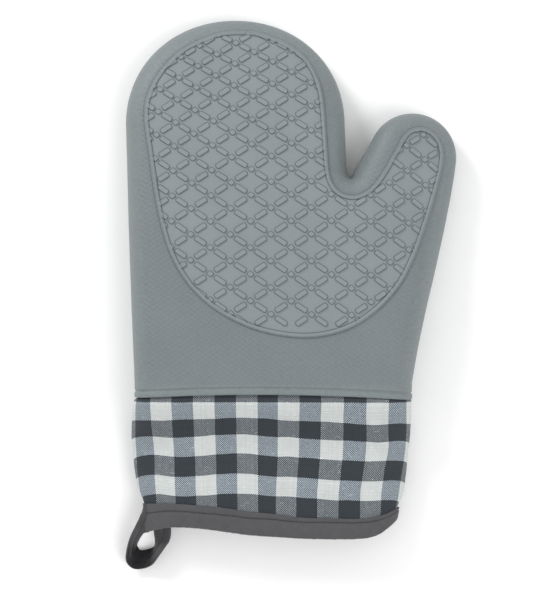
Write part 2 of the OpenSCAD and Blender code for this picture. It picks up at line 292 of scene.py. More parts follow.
# ---- shapes shared by the pieces ------------------------------------------------------
def spline(points, step, closed=False):
    """A smooth curve through the points, sampled about every step millimetres."""
    p = np.array(points, float)
    if closed:
        p = np.vstack([p[-1], p, p[0], p[1]])
    else:
        p = np.vstack([2 * p[0] - p[1], p, 2 * p[-1] - p[-2]])
    out = []
    for a, b, c, d in zip(p[:-3], p[1:-2], p[2:-1], p[3:]):
        n = max(1, round(np.linalg.norm(c - b) / step))
        t = (np.arange(n) / n)[:, None]
        out.append(0.5 * (2 * b + (c - a) * t + (2 * a - 5 * b + 4 * c - d) * t ** 2
                          + (3 * b - a - 3 * c + d) * t ** 3))
    if not closed:
        out.append(p[-2][None])
    return np.vstack(out)


def smooth(t):
    t = np.clip(t, 0, 1)
    return t * t * (3 - 2 * t)


def ease(x, xs, ys):
    """A soft curve through the values ys at xs."""
    x = np.asarray(x, float)
    out = np.full(x.shape, float(ys[0]))
    for x0, x1, y0, y1 in zip(xs[:-1], xs[1:], ys[:-1], ys[1:]):
        out = out + (y1 - y0) * smooth((x - x0) / (x1 - x0))
    return out


def unit(v):
    return v / np.linalg.norm(v, axis=-1, keepdims=True)


def along(points):
    """The distance along a run of points, starting at 0."""
    step = np.linalg.norm(np.diff(points, axis=0), axis=1)
    return np.concatenate([[0], np.cumsum(step)])


def inward(points, closed=False):
    """Unit normals to the right of a run of points in the plan."""
    if closed:
        t = np.roll(points, -1, 0) - np.roll(points, 1, 0)
    else:
        t = np.gradient(points, axis=0)
    return unit(np.stack([t[:, 1], -t[:, 0]], 1))


class Curve:
    """A run of points in the plan that answers how far other points are from it."""

    def __init__(self, points, closed=False):
        self.p = np.array(points, float)
        self.closed = closed
        self.normal = inward(self.p, closed)
        self.tree = KDTree(len(self.p))
        for i, (x, y) in enumerate(self.p):
            self.tree.insert((x, y, 0), i)
        self.tree.balance()

    def distance(self, x, y):
        """Signed distance, positive on the side that the normals point to."""
        q = np.stack([x, y], 1)
        near = np.array([self.tree.find((a, b, 0))[1] for a, b in q])
        n = len(self.p)
        best, sign = np.full(len(q), np.inf), np.ones(len(q))
        for i in (near - 1, near):
            if self.closed:
                a, b = self.p[i % n], self.p[(i + 1) % n]
            else:
                i = np.clip(i, 0, n - 2)
                a, b = self.p[i], self.p[i + 1]
            ab = b - a
            t = np.clip(((q - a) * ab).sum(1) / np.maximum((ab ** 2).sum(1), 1e-9), 0, 1)
            off = q - a - t[:, None] * ab
            far = np.hypot(off[:, 0], off[:, 1])
            side = np.sign(ab[:, 1] * (q[:, 0] - a[:, 0]) - ab[:, 0] * (q[:, 1] - a[:, 1]))
            closer = far < best
            best, sign = np.where(closer, far, best), np.where(closer, side, sign)
        return best * np.where(sign == 0, 1, sign)


def make_mesh(name, points, faces, material, flat, masks=None):
    """A mesh object from points in millimetres, with flat coordinates in metres."""
    mesh = bpy.data.meshes.new(name)
    mesh.from_pydata((points * MM).tolist(), [], [list(map(int, f)) for f in faces])
    mesh.polygons.foreach_set("use_smooth", [True] * len(mesh.polygons))
    corner = np.zeros(len(mesh.loops), int)
    mesh.loops.foreach_get("vertex_index", corner)
    mesh.uv_layers.new(name="flat").data.foreach_set("uv", (flat[corner] * MM).ravel())
    for key, values in (masks or {}).items():
        mesh.attributes.new(key, "FLOAT", "POINT").data.foreach_set("value", np.asarray(values, np.float32))
    mesh.materials.append(material)
    mesh.validate()
    obj = bpy.data.objects.new(name, mesh)
    bpy.context.scene.collection.objects.link(obj)
    return obj


def grid_faces(rows, columns, around=False, flip=False):
    """Quads between rows of points that are numbered row by row."""
    faces = []
    for r in range(rows - 1):
        for c in range(columns if around else columns - 1):
            d = (c + 1) % columns
            quad = [r * columns + c, r * columns + d, (r + 1) * columns + d, (r + 1) * columns + c]
            faces.append(quad[::-1] if flip else quad)
    return faces


# ---- the mitt's outline and thickness -------------------------------------------------
HEM_Y = 9.0                    # the moulded lip takes the last millimetres below this
MIDDLE_SHARE = 0.47            # the seam's height as a share of the mitt's thickness
RIM_REACH, RIM_POWER, BACK_RIM_POWER = 17.0, 2.2, 2.4  # how the rim rounds from the outline in
FINGER_MID, FINGER_HALF = -21.9, 66.2
TIP_FROM, TIP_LONG = 165.0, 63.3
THUMB_MID, THUMB_R = np.array([85.5, 145.2]), 26.6
CUT_OUTSIDE = 4.0              # a lining is cut this far outside the outline and turns down to the seam
FOLD = np.array(JOINTS["thumb_fold"]["pos_m"]) / MM
FOLD_WAY = np.array(JOINTS["thumb_fold"]["axis"])
ACROSS_FOLD = np.array([-FOLD_WAY[1], FOLD_WAY[0]])    # towards the thumb


def tip_arc(step):
    """The rounded end of the fingers, from the plain side to the thumb's side."""
    a = np.radians(np.linspace(180, 0, round(math.pi * FINGER_HALF / step)))
    full = 2 / 2.07
    x = FINGER_MID + FINGER_HALF * np.sign(np.cos(a)) * np.abs(np.cos(a)) ** full
    return np.stack([x, TIP_FROM + TIP_LONG * np.abs(np.sin(a)) ** full], 1)


def mitt_outline(step, hem_y=HEM_Y):
    """From the hem's plain side over the fingers and the thumb to the hem again."""
    arc = np.radians(np.linspace(150, -8, round(2.76 * THUMB_R / step)))
    thumb = THUMB_MID + THUMB_R * np.stack([np.cos(arc), np.sin(arc)], 1)
    plain = spline([(-82.6, hem_y), (-83.3, 26), (-84.5, 55), (-86.1, 100), (-87.2, 138), (-88.1, TIP_FROM)],
                   step)
    web = spline([(FINGER_MID + FINGER_HALF, TIP_FROM), (44.8, 153), (45.2, 143.4), (45.5, 137.3),
                  (46.1, 134.4), (46.8, 132.9), (47.7, 132.3), (48.5, 133.0), (49.2, 134.8), (50.5, 137.4),
                  (53.9, 143.6), (58.6, 151.6), tuple(thumb[0])], min(step, 0.8))
    side = spline([tuple(thumb[-1]), (110.9, 134), (108.1, 118), (104.0, 98), (99.0, 76), (93.9, 55),
                   (88.9, 32), (84.8, hem_y)], step)
    return np.vstack([plain[:-1], tip_arc(step)[:-1], web[:-1], thumb[:-1], side])


def enclosed(line):
    """The area inside a run of points in the plan, in square metres."""
    x, y = line[:, 0] * MM, line[:, 1] * MM
    return abs((x * np.roll(y, -1) - y * np.roll(x, -1)).sum()) / 2


def past_fold(x, y):
    """How far a place lies beyond the thumb's fold line."""
    return (x - FOLD[0]) * ACROSS_FOLD[0] + (y - FOLD[1]) * ACROSS_FOLD[1]


def thickness(x, y):
    fingers = 37.4 - 0.8 * np.clip(y / 110, 0, 1) - 14.6 * np.clip((y - 100) / 125, 0, 1) ** 1.4
    out = past_fold(x, y)
    thumb = 35.0 - 10.0 * smooth(out / 62)
    share = smooth((out - 5) / 34)
    return fingers * (1 - share) + thumb * share


def rise(d, reach, power):
    """How far up the side of the rim a place is that lies d inside the outline."""
    return (1 - (1 - np.clip(d / reach, 0, 1)) ** power) ** (1 / power)


STANDS = 1.15                  # the mitt lies on its lower grip pattern, this far off the table
CROWN = 1.6                    # how far the liner domes the middle of the palm


def skin_height(x, y, d, side, inset):
    """Height of the mitt's top (side 1) or underside (side -1), drawn in by inset."""
    thick = thickness(x, y)
    middle = thick * MIDDLE_SHARE
    reach = RIM_REACH - inset
    if side > 0:
        crown = CROWN * np.exp(-((x + 14) / 42) ** 2 - ((y - 88) / 52) ** 2)
        return middle + (thick - middle - inset) * rise(d, reach, RIM_POWER) + crown * smooth(d / 20)
    return middle - (middle - (inset + STANDS)) * rise(d, reach, BACK_RIM_POWER)


# ---- the raised grip pattern ----------------------------------------------------------
BEAD_HALF, BEAD_H = 1.35, 1.1
LUG_LONG, LUG_WIDE, LUG_CORNER, LUG_H = 7.9, 3.1, 0.9, 0.95
DOT_WIDE, DOT_TALL, DOT_H = 4.4, 3.7, 0.85
DOT_POWER = 1.25                                       # 1 for a diamond, 2 for an ellipse
HALF_PITCH = 12.05, 8.02                               # half the lattice's pitch across and up
# Where dot (i, j) of the lattice sits: factors of the terms of a cubic in i / 8 and j / 10.
LATTICE_X = (-0.3, 97.75, 0.62, 0.37, -2.4, 0.56, -4.1, -0.14, -2.26, -0.28)
LATTICE_Y = (114.43, 1.24, 79.57, -0.61, 2.74, -2.55, -2.69, -2.8, -0.42, -1.95)
EDGE = 0.42                                            # width of a lug's sloping side
STEPS = (-0.42, -0.04, 0.22, 0.44)                     # how far inside its outline a lug's mesh loops run
BEAD_STEPS = (-1.95, -1.55, -1.25, -0.7, 0, 0.7, 1.25, 1.55, 2.0)
PATTERN_FROM = 44.3                                    # nothing but the bead lies below this


def draw_in(place):
    """The pattern sits a little closer together where the mitt is thick."""
    share = (thickness(place[..., 0], place[..., 1]) - MID_HEIGHT) / CAMERA_UP
    return place - (place - VIEW_CENTRE) * share[..., None]


def panel_path():
    """The bead round the grip panel: over the fingers, round the web and the thumb's tip,
    then in a wide curve over the palm."""
    fingers = [(-73.6, 151), (-75.0, 160.6), (-75.9, 169), (-75.5, 177), (-73.3, 184.8), (-68.7, 193.7),
               (-62.3, 201.8), (-54.7, 208.6), (-46.2, 213.7), (-36, 218.2), (-25, 220.5), (-12.2, 220.3),
               (-3.7, 218.6), (4.7, 215.4), (12.4, 211.1), (19.2, 205.6), (24.3, 198.8), (27.7, 191.2),
               (29.8, 183.6), (30.9, 175.1), (31.5, 166.6)]
    web = [(32.1, 157.5), (32.8, 148), (33.4, 140), (34.4, 133.4), (36.6, 127.8), (40.4, 123.5), (45, 121.3),
           (50.5, 120.8), (55, 122.0), (59.3, 124.6), (63.4, 128.6)]
    thumb = [(67.7, 134.6), (72.2, 142.3), (76.8, 150.5), (80.4, 157.3), (84.0, 160.9), (88.6, 162.4),
             (92.4, 162.1), (96.9, 160.1), (100.4, 156.4), (102.7, 151), (103.3, 145.5), (102.3, 138.5)]
    palm = [(100.5, 131), (98.5, 123.7), (96.2, 115.6), (93.9, 108.3), (89.9, 96.6), (84.9, 83.8), (78, 70.2),
            (68.6, 58.4), (59.5, 50.3), (48.7, 43.4), (36.5, 39.1), (23.3, 37.1), (10.6, 37.6), (-2.4, 39.9),
            (-13.2, 43.2), (-25.3, 48.8), (-36.4, 55.9), (-47.1, 65.8), (-55.4, 77.4), (-61.8, 91.0),
            (-65.9, 105.1), (-68.6, 118), (-70.6, 130), (-72.2, 141)]
    dense = spline(draw_in(np.array(fingers + web + thumb + palm)), 1.5, closed=True)
    for _ in range(4):
        dense = (np.roll(dense, 1, 0) + 2 * dense + np.roll(dense, -1, 0)) / 4
    return dense


def lattice(i, j):
    """Where the lattice's dot (i, j) sits; rows and columns bow a little over the mitt's shape."""
    a, b = i / 8, j / 10
    terms = np.array([1, a, b, a * a, a * b, b * b, a ** 3, a * a * b, a * b * b, b ** 3])
    return draw_in(np.array([terms @ LATTICE_X, terms @ LATTICE_Y]))


class Grip:
    """Lugs and dots on a rhombic lattice inside the bead."""

    def __init__(self):
        self.path = Curve(panel_path(), closed=True)
        self.lugs, self.dots = [], []
        reach = range(-15, 17)
        for i in reach:
            for j in reach:
                if (i + j) % 2:
                    continue
                here = lattice(i, j)
                self.dots.append(here)
                for turn in (1, -1):
                    ends = here, lattice(i + 1, j + turn)
                    way = ends[1] - ends[0]
                    size = np.hypot(*way) / np.hypot(*HALF_PITCH)
                    self.lugs.append((*(ends[0] + ends[1]) / 2, math.atan2(way[1], way[0]), size))
        self.lugs = self.inside(np.array(self.lugs), -1.5)
        self.dots = self.inside(np.array(self.dots), -1.0)

    def inside(self, places, margin):
        within = self.path.distance(places[:, 0], places[:, 1]) > margin
        return places[within & (places[:, 1] > PATTERN_FROM)]

    def loops(self):
        """Closed runs of points that the mesh follows round the bead and each lug and dot."""
        out = [self.path.p + s * self.path.normal for s in BEAD_STEPS]
        for x, y, turn, size in self.lugs:
            out += [self.off_rim(lug_loop(x, y, turn, size, inset)) for inset in STEPS]
        for x, y in self.dots:
            out += [self.off_rim(dot_loop(x, y, inset)) for inset in STEPS]
        return out

    def off_rim(self, loop):
        """A lug that runs into the bead ends on the bead's top."""
        over = np.maximum(0.45 - self.path.distance(loop[:, 0], loop[:, 1]), 0)
        near = [self.path.tree.find((x, y, 0))[1] for x, y in loop]
        return loop + over[:, None] * self.path.normal[near]

    def relief(self, x, y):
        """How far the pattern stands above the panel at each place, and painted shade: how close the place is
        to the base of a lug or dot or to the sides of the bead, where dark lines of shade are painted."""
        s = self.path.distance(x, y)
        bead = BEAD_H * (1 - np.clip(np.abs(s) / (BEAD_HALF + 0.2), 0, 1) ** 3)
        inside = np.full(len(x), -9.0)
        lugs = np.zeros(len(x))
        here = np.flatnonzero(s > -0.2)
        px, py = x[here], y[here]
        for features, reach, top in ((self.lugs, 6, LUG_H), (self.dots, 4, DOT_H)):
            for cx, cy, *more in features:
                near = np.flatnonzero((np.abs(px - cx) < reach) & (np.abs(py - cy) < reach))
                depth = (lug_inside if more else dot_inside)(px[near] - cx, py[near] - cy, *more)
                at = here[near]
                inside[at] = np.maximum(inside[at], depth)
                lugs[at] = np.maximum(lugs[at], top * smooth((depth + 0.04) / (EDGE + 0.04)))
        # Painted shade: a dark line round the base of every lug and dot inside the panel, and dark lines along
        # both sides of the bead, stronger on its inner side.
        foot = np.exp(-((inside + 0.02) / 0.2) ** 2) * (s > 0.6)
        rim = np.exp(-((np.abs(s) - 1.58) / 0.25) ** 2) * np.where(s > 0, 1.25, 0.6)
        return np.maximum(bead, lugs), np.maximum(foot, rim)


def lug_loop(cx, cy, turn, size, inset):
    a, b = LUG_LONG * size / 2 - inset, LUG_WIDE / 2 - inset
    r = max(LUG_CORNER - inset, 0.3)
    t = np.radians([0, 30, 60, 90])
    corner = np.stack([np.cos(t), np.sin(t)], 1) * r
    quarter = corner + (a - r, b - r)
    pts = np.vstack([quarter, quarter[::-1] * (-1, 1), -quarter, quarter[::-1] * (1, -1)])
    c, s = math.cos(turn), math.sin(turn)
    return pts @ np.array([[c, s], [-s, c]]) + (cx, cy)


def lug_inside(x, y, turn, size):
    c, s = math.cos(turn), math.sin(turn)
    u, v = np.abs(x * c + y * s), np.abs(y * c - x * s)
    r = LUG_CORNER
    qx, qy = u - (LUG_LONG * size / 2 - r), v - (LUG_WIDE / 2 - r)
    return r - np.hypot(np.maximum(qx, 0), np.maximum(qy, 0)) - np.minimum(np.maximum(qx, qy), 0)


def dot_inside(x, y):
    across, up = np.abs(x) / (DOT_WIDE / 2), np.abs(y) / (DOT_TALL / 2)
    return (1 - (across ** DOT_POWER + up ** DOT_POWER) ** (1 / DOT_POWER)) * DOT_TALL / 2


def dot_loop(cx, cy, inset):
    k = 1 - inset / (DOT_TALL / 2)
    t = np.radians(np.arange(0, 360, 30))
    c, s = np.cos(t), np.sin(t)
    x = np.sign(c) * np.abs(c) ** (2 / DOT_POWER) * DOT_WIDE / 2 * k
    y = np.sign(s) * np.abs(s) ** (2 / DOT_POWER) * DOT_TALL / 2 * k
    return np.stack([cx + x, cy + y], 1)


# ---- one face of the mitt -------------------------------------------------------------
RIM_BAND = 5.5                 # width of the rim that is made of rings
RIM_TALL = 18                  # about how high the rim climbs from the seam
HEM_SAMPLES = 44
OUTLINE_STEP = 1.6             # from point to point along the outline
SHELL_THICK = 2.0


class Face:
    """The mitt's top or underside as a mesh: rings along the rim and a filled middle.

    Points are numbered ring by ring from the outline in, then the hem line, then the rest.
    inset is how far inside the mitt's skin the face lies. The rings' flat coordinates are
    unrolled, so that the grain doesn't stretch on the steep side.
    """

    def __init__(self, side, inset, step, spacing, relief=None, loops=(), hem_y=HEM_Y):
        edge = mitt_outline(step, hem_y)
        n = inward(edge)
        n[0], n[-1] = (1, 0), (-1, 0)
        self.across = len(edge)
        self.depths = RIM_BAND * np.linspace(0, 1, 9) ** 1.9
        rings = [edge + (inset + d) * n for d in self.depths]
        inner = rings[-1]
        x = np.linspace(inner[0, 0], inner[-1, 0], HEM_SAMPLES + 2)[1:-1]
        hem = np.stack([x, np.full(len(x), hem_y)], 1)
        border = np.vstack([inner, hem[::-1]])
        fill, faces = self.fill(border, loops, spacing)
        outline = Curve(edge)
        first = (len(self.depths) - 1) * self.across
        self.plan = np.vstack([*rings[:-1], inner, hem, fill])
        climb = np.diff(RIM_TALL * rise(self.depths, RIM_REACH, RIM_POWER))
        girth = np.concatenate([[0], np.cumsum(np.hypot(np.diff(self.depths), climb))])
        unrolled = [inner - (girth[-1] - g) * n for g in girth[:-1]]
        self.flat = np.vstack([*unrolled, inner, hem, fill])
        d = outline.distance(self.plan[:, 0], self.plan[:, 1]) - inset
        known = np.concatenate([np.full(self.across, r) for r in self.depths])
        d[:len(known)] = known
        z = skin_height(self.plan[:, 0], self.plan[:, 1], np.maximum(d, 0), side, inset)
        # The painted shade round the grip pattern, zero where there is no relief.
        self.foot = np.zeros(len(z))
        if relief is not None:
            height, self.foot = relief(self.plan[:, 0], self.plan[:, 1])
            z = z + side * height
        self.points = np.column_stack([self.plan, z])
        self.inside = d
        ring_faces = grid_faces(len(self.depths), self.across)
        hem_first = first + self.across
        order = np.concatenate([np.arange(first, hem_first),
                                np.arange(hem_first, hem_first + HEM_SAMPLES)[::-1]])
        lookup = np.concatenate([order, np.arange(len(fill)) + hem_first + HEM_SAMPLES])
        middle = [list(lookup[f]) for f in faces]
        ring_faces = [f[::-1] for f in ring_faces]
        self.faces = ring_faces + middle if side > 0 else [f[::-1] for f in ring_faces + middle]
        self.faces = [list(map(int, f)) for f in self.faces]
        starts = [r * self.across for r in range(len(self.depths))]
        ends = [s + self.across - 1 for s in starts]
        self.hem_loop = starts + list(range(hem_first, hem_first + HEM_SAMPLES)) + ends[::-1]

    @staticmethod
    def fill(border, loops, spacing):
        """Triangles inside the border that follow the loops. Returns the new points and faces."""
        xs = np.arange(border[:, 0].min(), border[:, 0].max(), spacing)
        ys = np.arange(border[:, 1].min() + 1.2, border[:, 1].max(), spacing * 0.866)
        gx, gy = np.meshgrid(xs, ys)
        gx[1::2] += spacing / 2
        grid = np.stack([gx.ravel(), gy.ravel()], 1)
        rim = Curve(border, closed=True)
        grid = grid[rim.distance(grid[:, 0], grid[:, 1]) > spacing * 0.45]
        points = [border, grid]
        n = len(border)
        edges = [(i, (i + 1) % n) for i in range(n)]
        start = n + len(grid)
        for loop in loops:
            if rim.distance(loop[:, 0], loop[:, 1]).min() < 0.3:
                continue
            k = len(loop)
            points.append(loop)
            edges += [(start + i, start + (i + 1) % k) for i in range(k)]
            start += k
        cloud = [Vector(p) for p in np.vstack(points)]
        out, _, faces, source, _, _ = delaunay_2d_cdt(cloud, edges, [], 1, 0.004)
        number, fresh = {}, []
        for i, origin in enumerate(source):
            old = [o for o in origin if o < n]
            if old:
                number[i] = old[0]
            else:
                number[i] = n + len(fresh)
                fresh.append(tuple(out[i]))
        found = []
        for f in faces:
            f = [number[i] for i in f]
            if len(set(f)) == 3:
                found.append(np.array(f))
        return np.array(fresh), found


def hem_rise(x):
    """The hem isn't quite straight."""
    return 2.3 - 3.0 * ((x + 8) / 86) ** 2


class Shape:
    """Points and faces in millimetres with flat coordinates, gathered part by part."""

    def __init__(self):
        self.points, self.faces, self.flat, self.count = [], [], [], 0

    def add(self, points, faces, flat=None):
        points = np.asarray(points, float)
        self.points.append(points)
        self.flat.append(points[:, :2] if flat is None else np.asarray(flat, float))
        self.faces += [[self.count + i for i in f] for f in faces]
        first, self.count = self.count, self.count + len(points)
        return first

    def add_grid(self, grid, flat, around=False, flip=False):
        faces = grid_faces(*grid.shape[:2], around, flip)
        return self.add(grid.reshape(-1, 3), faces, flat.reshape(-1, 2))

    def join(self, a, b, around=False):
        """A strip of faces between two equal rows of point numbers."""
        n = len(a)
        for i in range(n if around else n - 1):
            j = (i + 1) % n
            self.faces.append([a[i], a[j], b[j], b[i]])

    def build(self, name, material, masks=None, close=0.0):
        points, flat = np.vstack(self.points), np.vstack(self.flat)
        obj = make_mesh(name, points, self.faces, material, flat, masks)
        bm = bmesh.new()
        bm.from_mesh(obj.data)
        if close:
            bmesh.ops.remove_doubles(bm, verts=bm.verts, dist=close * MM)
        bmesh.ops.recalc_face_normals(bm, faces=bm.faces)
        bm.to_mesh(obj.data)
        bm.free()
        return obj


def soften(obj, angle):
    """Smooth shading that keeps edges sharper than the angle."""
    obj.data.set_sharp_from_angle(angle=math.radians(angle))


# ---- the silicone ---------------------------------------------------------------------
# The lip's cross-section: how far above the hem's end, and how far out from the skin.
LIP = ((4.9, 0.0), (4.4, -0.45), (3.8, -0.55), (3.3, -0.15), (2.8, 0.1), (1.7, 0.15), (0.7, 0.1),
       (0.15, -0.15), (0.0, -0.6), (0.0, -1.4), (0.5, -1.9))


def make_silicone(grip):
    shape = Shape()
    loops = grip.loops()
    skins = [Face(side, 0.0, OUTLINE_STEP, 2.9, grip.relief, loops) for side in (1, -1)]
    insides = [Face(side, SHELL_THICK, OUTLINE_STEP, 8.0) for side in (1, -1)]
    rows, panel, field, foot = [], [], [], []
    for pair in (skins, insides):
        row = []
        for face in pair:
            first = shape.add(face.points, face.faces, face.flat)
            row.append(first + np.array(face.hem_loop))
            s = grip.path.distance(face.plan[:, 0], face.plan[:, 1])
            panel.append(smooth(s + 0.5))
            field.append(smooth((face.inside - 7.5) / 2))
            foot.append(face.foot)
        rows.append(np.concatenate([row[0], row[1][::-1][1:-1]]))
    outer = np.vstack(shape.points)[rows[0]]
    way = inward(outer[:, [0, 2]], closed=True)
    last = rows[0]
    for up, out in LIP:
        ring = outer.copy()
        ring[:, [0, 2]] -= way * out
        ring[:, 1] = hem_rise(ring[:, 0]) + up
        first = shape.add(ring, [])
        for mask in (panel, field, foot):
            mask.append(np.zeros(len(ring)))
        now = first + np.arange(len(ring))
        shape.join(last, now, around=True)
        last = now
    shape.join(last, rows[1], around=True)
    # The third mask carries the painted shade round the grip pattern.
    masks = {"panel": np.concatenate(panel), "field": np.concatenate(field), "foot": np.concatenate(foot)}
    obj = shape.build("silicone_mitt", SILICONE_LOOK, masks, close=0.002)
    soften(obj, 35)
    return obj


def make_layer(name, side, outer, inner, material, hem_y):
    """One layer of the liner: a closed slab between two insets of the same face."""
    shape = Shape()
    faces = [Face(side, inset, 2 * OUTLINE_STEP, 7.5, hem_y=hem_y) for inset in (outer, inner)]
    borders = []
    for face in faces:
        first = shape.add(face.points, face.faces)
        border = list(range(face.across)) + face.hem_loop[::-1][1:-1]
        borders.append(first + np.array(border))
    shape.join(borders[0], borders[1], around=True)
    return shape.build(name, material)


def over_thumb(obj):
    """Bakes the piece's placement into its points."""
    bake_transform(obj)


# ---- the cuff's tube of cloth ---------------------------------------------------------
MOUTH = ((-90, -84.0), (-77, -80.6), (-70, -78.9), (-62, -78.1), (-47, -78.6), (-28, -80.6), (-10, -82.8),
         (18, -84.4), (36, -85.0), (53, -85.0), (63, -84.4), (71, -82.2), (77, -77.8), (84, -70))
ROWS_LOWER = ((-90, 0.6), (-59, -0.6), (-34, -1.9), (-16, -2.7), (4, -0.8), (17, -0.1), (43, 1.4), (70, 2.9),
              (90, 2.2))      # how far below a straight line the check's rows lie
CUFF_TOP = 5.0                 # the cloth's upper edge, hidden inside the moulded lip
LEFT_SIDE = ((-80, -75.4), (-72, -76.0), (-66, -76.7), (-62, -78.0), (-57, -80.3), (-52, -81.8), (-43, -83.2),
             (-33, -84.0), (-24, -84.9), (-14, -84.5), (-4, -83.6), (0, -82.9), (9, -82.6))
RIGHT_SIDE = ((-80, 74.0), (-77, 74.6), (-66, 76.6), (-61, 79.0), (-57, 80.4), (-43, 82.1), (-33, 82.8),
              (-24, 84.0), (-14, 84.5), (-4, 84.6), (0, 84.6), (9, 84.8))


def through(points, x):
    """The height at x of a smooth curve through the points, left to right."""
    curve = spline(points, 1.0)
    return np.interp(x, curve[:, 0], curve[:, 1])


RIPPLE_TERMS = 9


def ripple(x, y, wave, seed):
    """Smooth seeded unevenness, mostly between -1 and 1, about wave millimetres long."""
    rng = np.random.default_rng(seed)
    out = 0
    for _ in range(RIPPLE_TERMS):
        turn, phase = rng.uniform(0, math.tau, 2)
        rate = math.tau / (wave * rng.uniform(0.7, 1.6))
        out = out + np.sin(rate * (x * math.cos(turn) + y * math.sin(turn)) + phase)
    return out / math.sqrt(RIPPLE_TERMS)


def side_samples():
    """Fractions of the width, close together at the folded sides."""
    d = [0.0]
    while d[-1] < 84:
        d.append(d[-1] + min(1.25, 0.12 + 0.16 * len(d) ** 0.9))
    half = np.array(d) / d[-1] / 2
    return np.concatenate([half, 1 - half[-2::-1]])


SAMPLES = side_samples()
PLAN_X = -80 + 160 * SAMPLES   # the samples' places across the cuff, for what is set by place
MOUTH_LOW = through(MOUTH, PLAN_X)


class Cuff:
    """The cuff's surface: rows of points that share the same fractions of the width."""

    def __init__(self):
        left, right = np.array(LEFT_SIDE).T, np.array(RIGHT_SIDE).T
        self.left = lambda y: np.interp(y, *left)
        self.right = lambda y: np.interp(y, *right)

    def surface(self, side, y):
        """Points of one side of the cuff at heights y, one for each sample of the width."""
        left, right = self.left(y), self.right(y)
        x = left + (right - left) * SAMPLES
        d = np.minimum(x - left, right - x)
        down = np.clip(-y / 85, 0, 1)
        thick = ease(y, (-90, -34, 0, 9), (23.5, 25.5, 37.2, 37.4))
        reach = 17 + 13 * smooth(-y / 35)
        power = 2.2 - 0.45 * smooth(-y / 35)
        middle = thick * MIDDLE_SHARE + 1.2 * down
        free = smooth((d - 1) / 12) * smooth((-y - 1) / 14)
        wave = 0.55 * ripple(x, y * 1.4, 30, 11 + side) + 0.22 * ripple(x, y * 0.6, 11, 5 + side)
        tuck = 0.35 * np.sin(x / 2.9 + 1.7 * ripple(x, 0 * x, 40, 3 + side)) * np.exp(-((y + 6) / 7) ** 2)
        if side > 0:
            z = middle + (thick - middle) * rise(d, reach, power) + (wave + tuck) * free
            z = z + 1.6 * smooth(d / 30) * smooth((y + 14) / 16) * 0.6
        else:
            z = middle - (middle - 1.4) * rise(d, reach, power) - np.minimum(wave * 0.35, 0) * free
        return np.stack([x, y, z], 1)

    def sheet(self, side, heights, lift):
        """Rows of points at fractions of the way to the mouth, lifted off the cloth."""
        rows = np.array([self.surface(side, t * MOUTH_LOW if t > 0 else np.full(len(PLAN_X), -t))
                         for t in heights])
        n = unit(np.cross(np.gradient(rows, axis=0), np.gradient(rows, axis=1)))
        if (n[..., 2].mean() > 0) != (side > 0):
            n = -n
        n[:, 0], n[:, -1] = (-1, 0, 0), (1, 0, 0)
        lift = np.asarray(lift, float)
        return rows + n * (lift[:, None, None] if lift.ndim == 1 else lift[..., None])


def slab(shape, outer, inner, flat):
    """A closed slab between two grids of points."""
    rows, columns = outer.shape[:2]
    a, b = shape.add_grid(outer, flat), shape.add_grid(inner, flat, flip=True)
    grid = np.arange(rows * columns).reshape(rows, columns)
    edge = np.concatenate([grid[0], grid[1:, -1], grid[-1, -2::-1], grid[-2:0:-1, 0]])
    shape.join(a + edge, b + edge, around=True)


def cloth_flat(grid):
    """Flat coordinates of a woven grid: across by place, down by the cloth's own length."""
    step = np.linalg.norm(np.diff(grid, axis=0), axis=2)
    down = np.cumsum(np.vstack([np.zeros(grid.shape[1]), step]), axis=0)
    line = np.array([np.interp(1.7, -grid[:, i, 1], down[:, i]) for i in range(grid.shape[1])])
    bow = through(ROWS_LOWER, grid[..., 0]) * smooth((-grid[..., 1]) / 16)
    step = np.linalg.norm(np.diff(grid, axis=1), axis=2)
    across = np.cumsum(np.hstack([np.zeros((len(grid), 1)), step]), axis=1)
    middle = np.array([np.interp(0.0, row[:, 0], at) for row, at in zip(grid, across)])
    across = (across - middle[:, None]) * (1 + 0.03 * smooth(-grid[..., 1] / 75))
    x, y = grid[..., 0], grid[..., 1]
    pulled_in = 1.9 * smooth((x + 7) / 12) - 1.3 * smooth((x + 4) / 10) * smooth((y + 60) / 26)
    eased_out = smooth((x - 22) / 55) * (1.9 + 1.7 * np.exp(-((y + 30) / 16) ** 2))
    return np.stack([across + pulled_in - eased_out, down - line - bow + 4 * CHECK_TALL], 2)


def make_cuff_layer(cuff, name, side, material, top, outer, inner):
    """A woven layer of the cuff from just inside the shell to the mouth."""
    heights = np.concatenate([-np.arange(top, 0, -1.0), np.linspace(0.004, 0.985, 74)])
    y = np.array([-t if t < 0 else -75 * t for t in heights])
    hidden = 2.6 * smooth((y + 1.9) / 2.6)
    over, under = (cuff.sheet(side, heights, at - hidden) for at in (outer, inner))
    shape = Shape()
    slab(shape, over, under, cloth_flat(over))
    obj = shape.build(name, material)
    soften(obj, 60)
    return obj


def over_hem(obj):
    """Bakes the piece's placement into its points."""
    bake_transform(obj)


# ---- the binding ----------------------------------------------------------------------
BINDING_WIDE = ((-90, 18.5), (-77, 16.2), (-70, 14.8), (-62, 13.9), (-50, 14.2), (-21, 14.1), (16, 12.9),
                (41, 12.5), (64, 12.0), (75, 10.0), (84, 5.8))
# Where the stitches pull the binding in, as a share of its width.
GROOVE_AT = ((-90, 0.62), (-60, 0.69), (-30, 0.70), (10, 0.78), (84, 0.82))
BINDING_GROOVE, SHAPE_GROOVE = 6, 0.78                 # the row of the shape in the groove, and its share
